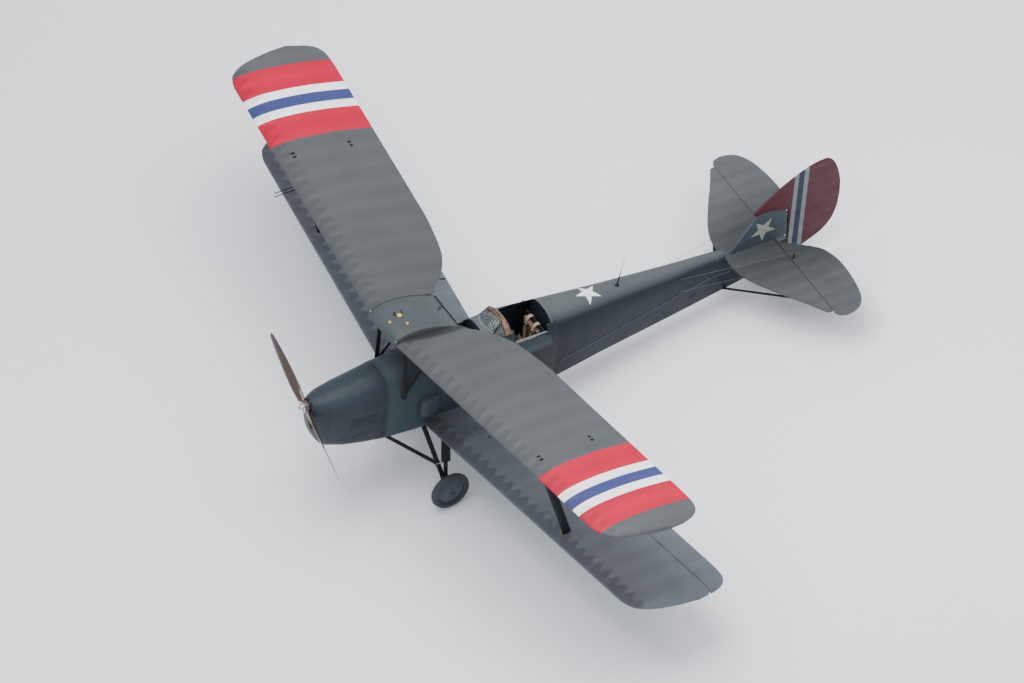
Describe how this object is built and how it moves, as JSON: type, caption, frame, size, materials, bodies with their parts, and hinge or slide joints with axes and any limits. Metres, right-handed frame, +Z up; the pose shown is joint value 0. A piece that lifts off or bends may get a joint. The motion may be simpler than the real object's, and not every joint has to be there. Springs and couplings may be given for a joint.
{
  "type": "two-seat touring biplane",
  "caption": "Open-cockpit single-engine biplane with fabric wings, fixed wheels and a tail skid, moving control surfaces, doors and propeller.",
  "frame": {"origin": "on the ground, below the middle of the parked aircraft", "axes": "+X towards the port wing tip, -Y towards the nose, +Z up"},
  "size_m": [8.9688, 7.3482, 2.6966],
  "materials": {
    "wing_fabric": "doped linen, grey-green, satin",
    "rudder_fabric": "doped linen, dark red with a white and blue band",
    "cowl_paint": "dark blue-grey, semi-gloss",
    "hull_paint": "dark blue-grey, semi-gloss",
    "strut_paint": "nearly black, satin",
    "bright_metal": "polished",
    "tyre": "black rubber",
    "leather": "tan leather",
    "screen": "clear",
    "engine_metal": "grey metal",
    "wood": "varnished"
  },
  "bodies": {
    "airframe": {"cowling": "cowl_paint", "engine": "engine_metal", "fuselage_front": "hull_paint", "upper_wing_port": "wing_fabric", "upper_wing_starboard": "wing_fabric", "lower_wing_port": "wing_fabric", "lower_wing_starboard": "wing_fabric", "fuel_tank": "cowl_paint", "interplane_strut_front_port": "strut_paint", "interplane_strut_front_starboard": "strut_paint", "interplane_strut_rear_port": "strut_paint", "interplane_strut_rear_starboard": "strut_paint", "stays_front_port": "bright_metal", "stays_front_starboard": "bright_metal", "stays_rear_port": "bright_metal", "stays_rear_starboard": "bright_metal", "pressure_tubes": "bright_metal", "cabane_port": "strut_paint", "cabane_starboard": "strut_paint", "tailplane": "wing_fabric", "fuselage_rear": "hull_paint", "fin": "hull_paint", "tailplane_strut_port": "strut_paint", "tailplane_strut_starboard": "strut_paint", "tail_skid": "strut_paint", "axle_port": "strut_paint", "axle_starboard": "strut_paint", "compression_leg_port": "strut_paint", "compression_leg_starboard": "strut_paint", "radius_rod_port": "strut_paint", "radius_rod_starboard": "strut_paint", "seat_front": "leather", "instrument_panel_front": "wood", "windscreen_front": "screen", "coaming_pad_front": "leather", "seat_rear": "leather", "instrument_panel_rear": "wood", "windscreen_rear": "screen", "coaming_pad_rear": "leather", "oil_tank": "bright_metal"},
    "door_front_port": {"door_front_port": "hull_paint"},
    "door_front_starboard": {"door_front_starboard": "hull_paint"},
    "door_rear_port": {"door_rear_port": "hull_paint"},
    "door_rear_starboard": {"door_rear_starboard": "hull_paint"},
    "propeller": {"propeller": "wood", "spinner": "bright_metal"},
    "wheel_port": {"wheel_port": "strut_paint", "tyre_port": "tyre"},
    "wheel_starboard": {"wheel_starboard": "strut_paint", "tyre_starboard": "tyre"},
    "rudder": {"rudder": "rudder_fabric"},
    "elevators": {"elevators": "wing_fabric"},
    "aileron_port": {"aileron_port": "wing_fabric"},
    "aileron_starboard": {"aileron_starboard": "wing_fabric"}
  },
  "joints": [
    {"name": "propeller_spin", "type": "hinge", "parent": "airframe", "child": "propeller", "pos_m": [0, -3.58342, 1.9233], "axis": [0, -0.9809, 0.1945], "continuous": true},
    {"name": "wheel_spin_port", "type": "hinge", "parent": "airframe", "child": "wheel_port", "pos_m": [0.8, -2.25493, 0.253], "axis": [1, 0, 0], "continuous": true},
    {"name": "wheel_spin_starboard", "type": "hinge", "parent": "airframe", "child": "wheel_starboard", "pos_m": [-0.8, -2.25493, 0.253], "axis": [1, 0, 0], "continuous": true},
    {"name": "rudder_hinge", "type": "hinge", "parent": "airframe", "child": "rudder", "pos_m": [0, 2.90708, 0.63628], "axis": [0, 0.1295, 0.9916], "range_deg": [-24, 24]},
    {"name": "elevator_hinge", "type": "hinge", "parent": "airframe", "child": "elevators", "pos_m": [0, 2.73211, 0.64783], "axis": [1, 0, 0], "range_deg": [-23, 28]},
    {"name": "aileron_hinge_port", "type": "hinge", "parent": "airframe", "child": "aileron_port", "pos_m": [2.23037, -1.04435, 0.8689], "axis": [0.9921, 0.1151, 0.0504], "range_deg": [-20, 20]},
    {"name": "aileron_hinge_starboard", "type": "hinge", "parent": "airframe", "child": "aileron_starboard", "pos_m": [-2.23037, -1.04435, 0.8689], "axis": [0.9921, -0.1151, -0.0504], "range_deg": [-20, 20]},
    {"name": "door_hinge_front_port", "type": "hinge", "parent": "airframe", "child": "door_front_port", "pos_m": [0.29444, -1.56489, 1.62499], "axis": [0, 0.9809, -0.1945], "range_deg": [0, 165]},
    {"name": "door_hinge_front_starboard", "type": "hinge", "parent": "airframe", "child": "door_front_starboard", "pos_m": [-0.29444, -1.56489, 1.62499], "axis": [0, -0.9809, 0.1945], "range_deg": [0, 165]},
    {"name": "door_hinge_rear_port", "type": "hinge", "parent": "airframe", "child": "door_rear_port", "pos_m": [0.29384, -0.69679, 1.45285], "axis": [0, 0.9809, -0.1945], "range_deg": [-165, 0]},
    {"name": "door_hinge_rear_starboard", "type": "hinge", "parent": "airframe", "child": "door_rear_starboard", "pos_m": [-0.29384, -0.69679, 1.45285], "axis": [0, -0.9809, 0.1945], "range_deg": [0, 165]}
  ],
  "couplings": [
    {"joint": "aileron_hinge_starboard", "follows": "aileron_hinge_port", "ratio": -1}
  ]
}
